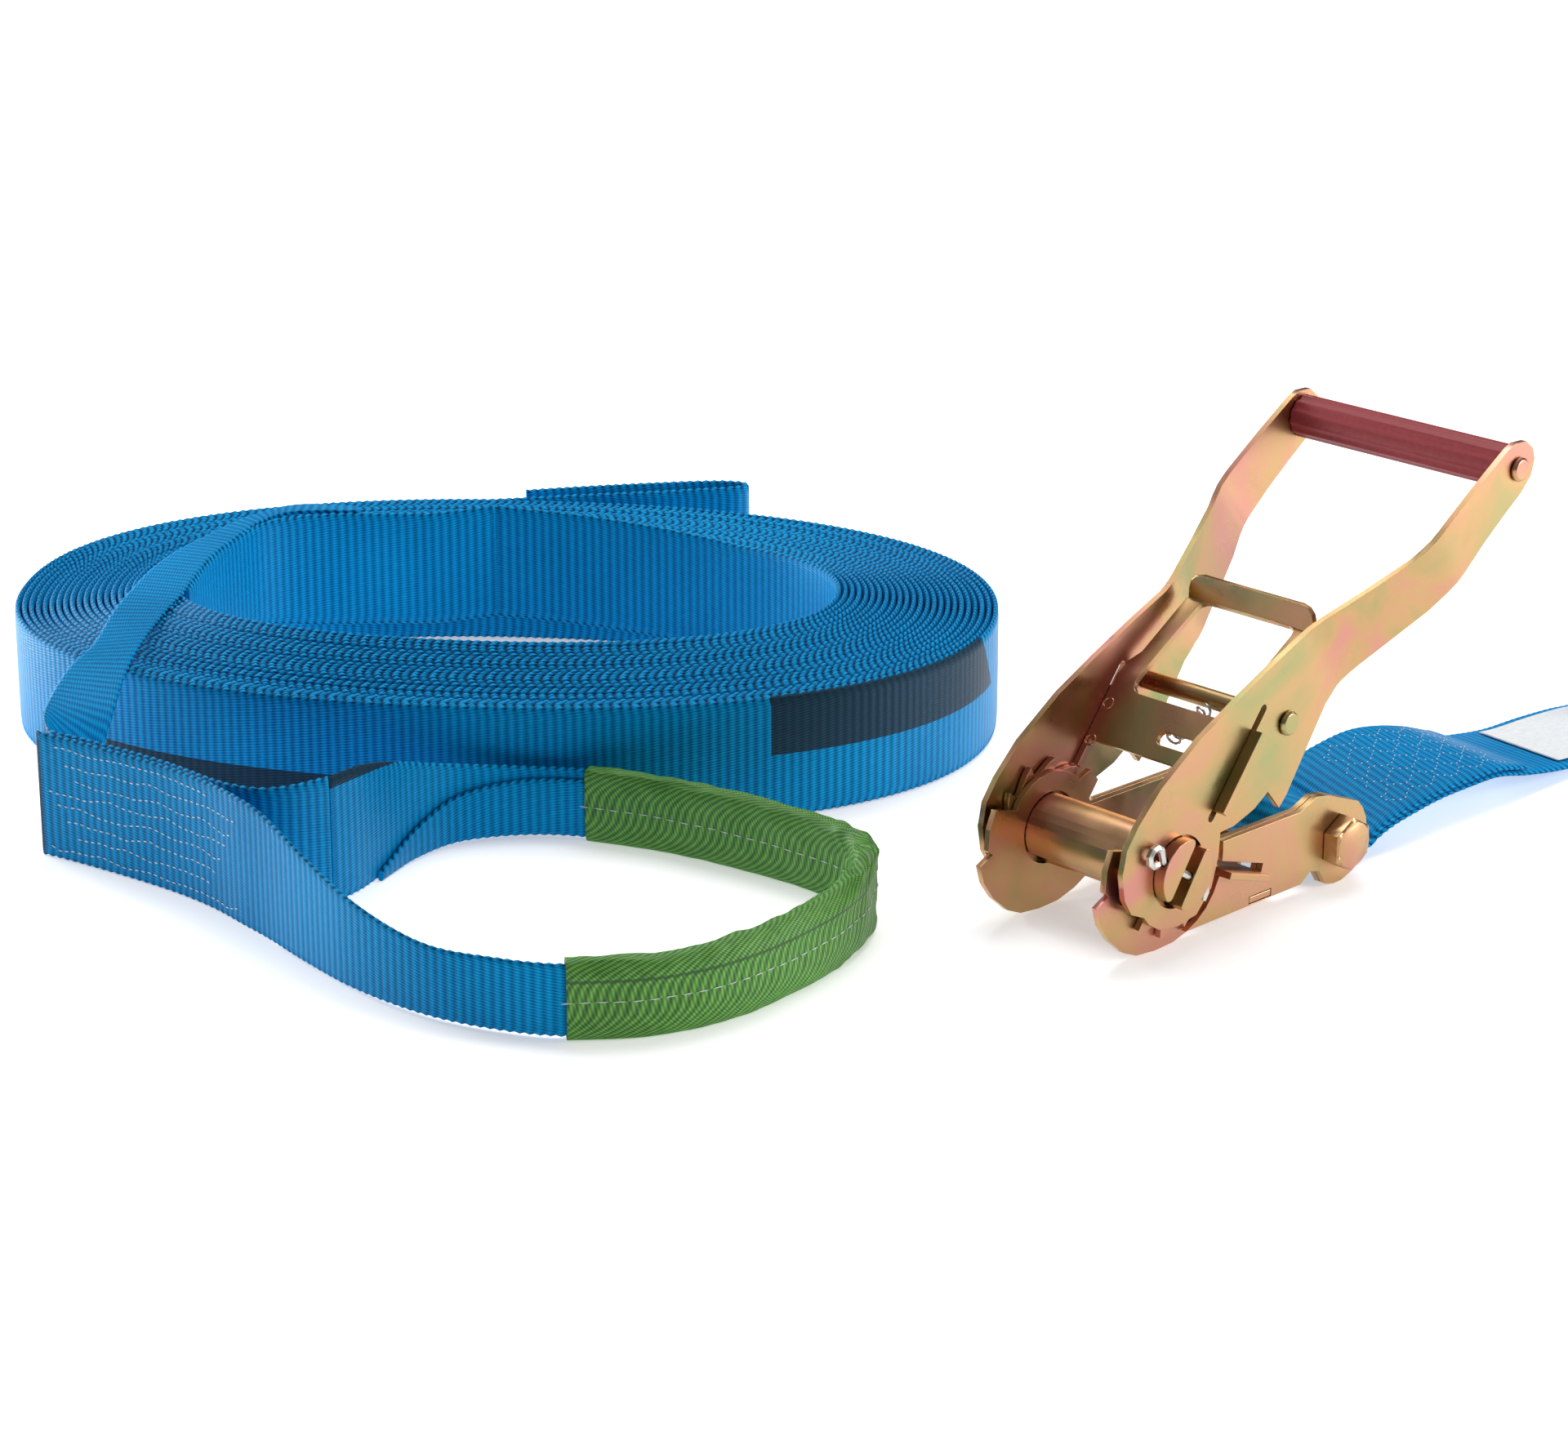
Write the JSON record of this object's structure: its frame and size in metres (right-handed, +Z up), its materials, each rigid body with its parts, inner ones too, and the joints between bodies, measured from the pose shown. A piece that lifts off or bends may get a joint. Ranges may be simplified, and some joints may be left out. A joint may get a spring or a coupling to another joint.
{
  "type": "slackline kit",
  "caption": "Coiled flat webbing slackline with a sleeved eye, and a long-handled ratchet with a drum, wheels, pawls and a short sewn strap.",
  "frame": {"origin": "on the floor, below the middle of the whole kit's box", "axes": "+Z up, +X along the ratchet from its drum to its anchor bolt, +Y from the ratchet toward the coil"},
  "size_m": [0.632, 0.57, 0.1617],
  "materials": {
    "zinc_yellow_steel": "pressed steel, zinc plated and yellow passivated, with pink and green iridescence",
    "zinc_steel": "clear zinc plated steel",
    "red_grip_plastic": "moulded fluted grip, dull red",
    "blue_webbing": "flat woven polyester webbing, blue with a dark edge stripe",
    "green_twill": "green twill tube with white seam stitching",
    "white_label": "bare white satin label tape"
  },
  "bodies": {
    "line": {"line_coil": "blue_webbing", "line_end_fold": "blue_webbing", "line_lead": "blue_webbing", "line_eye": "blue_webbing", "eye_sleeve": "green_twill"},
    "ratchet": {"frame_side_near": "zinc_yellow_steel", "frame_side_far": "zinc_yellow_steel", "rear_plate_near": "zinc_yellow_steel", "rear_plate_far": "zinc_yellow_steel", "frame_base": "zinc_yellow_steel", "frame_pawl_spring": "zinc_steel", "anchor_bolt": "zinc_yellow_steel", "anchor_nut": "zinc_yellow_steel", "anchor_sleeve": "zinc_steel", "strap_loop": "blue_webbing", "strap_run": "blue_webbing", "strap_roll": "blue_webbing", "strap_tag": "white_label"},
    "frame_pawl": {"frame_pawl": "zinc_yellow_steel"},
    "handle": {"arm_near": "zinc_yellow_steel", "arm_far": "zinc_yellow_steel", "handle_grip": "red_grip_plastic", "grip_rivet": "zinc_yellow_steel", "spacer_tube": "zinc_yellow_steel", "spacer_rivet": "zinc_yellow_steel", "handle_pawl_spring": "zinc_steel"},
    "handle_pawl": {"handle_pawl": "zinc_yellow_steel"},
    "drum": {"drum_half_rear": "zinc_yellow_steel", "drum_half_front": "zinc_yellow_steel", "wheel_near": "zinc_yellow_steel", "wheel_far": "zinc_yellow_steel", "cotter_pin_near": "zinc_steel", "cotter_pin_far": "zinc_steel"}
  },
  "joints": [
    {"name": "ratchet_lift", "type": "slide", "parent": "line", "child": "ratchet", "axis": [0, 0, 1], "range_m": [0, 0.15]},
    {"name": "handle_swing", "type": "hinge", "parent": "ratchet", "child": "handle", "pos_m": [-0.07836, -0.22971, 0.031], "axis": [0, -1, 0], "range_deg": [-30, 120]},
    {"name": "handle_pawl_slide", "type": "slide", "parent": "handle", "child": "handle_pawl", "axis": [0.6157, 0, 0.788], "range_m": [-0.0028, 0.009], "stiffness_N_per_m": 700, "springref_m": -0.0028, "deforming": ["handle_pawl_spring"]},
    {"name": "frame_pawl_slide", "type": "slide", "parent": "ratchet", "child": "frame_pawl", "axis": [0.9563, 0, -0.2924], "range_m": [-0.0028, 0.002], "stiffness_N_per_m": 1000, "springref_m": -0.0028, "deforming": ["frame_pawl_spring"]},
    {"name": "drum_spin", "type": "hinge", "parent": "ratchet", "child": "drum", "pos_m": [-0.07836, -0.22971, 0.031], "axis": [0, -1, 0], "continuous": true}
  ]
}
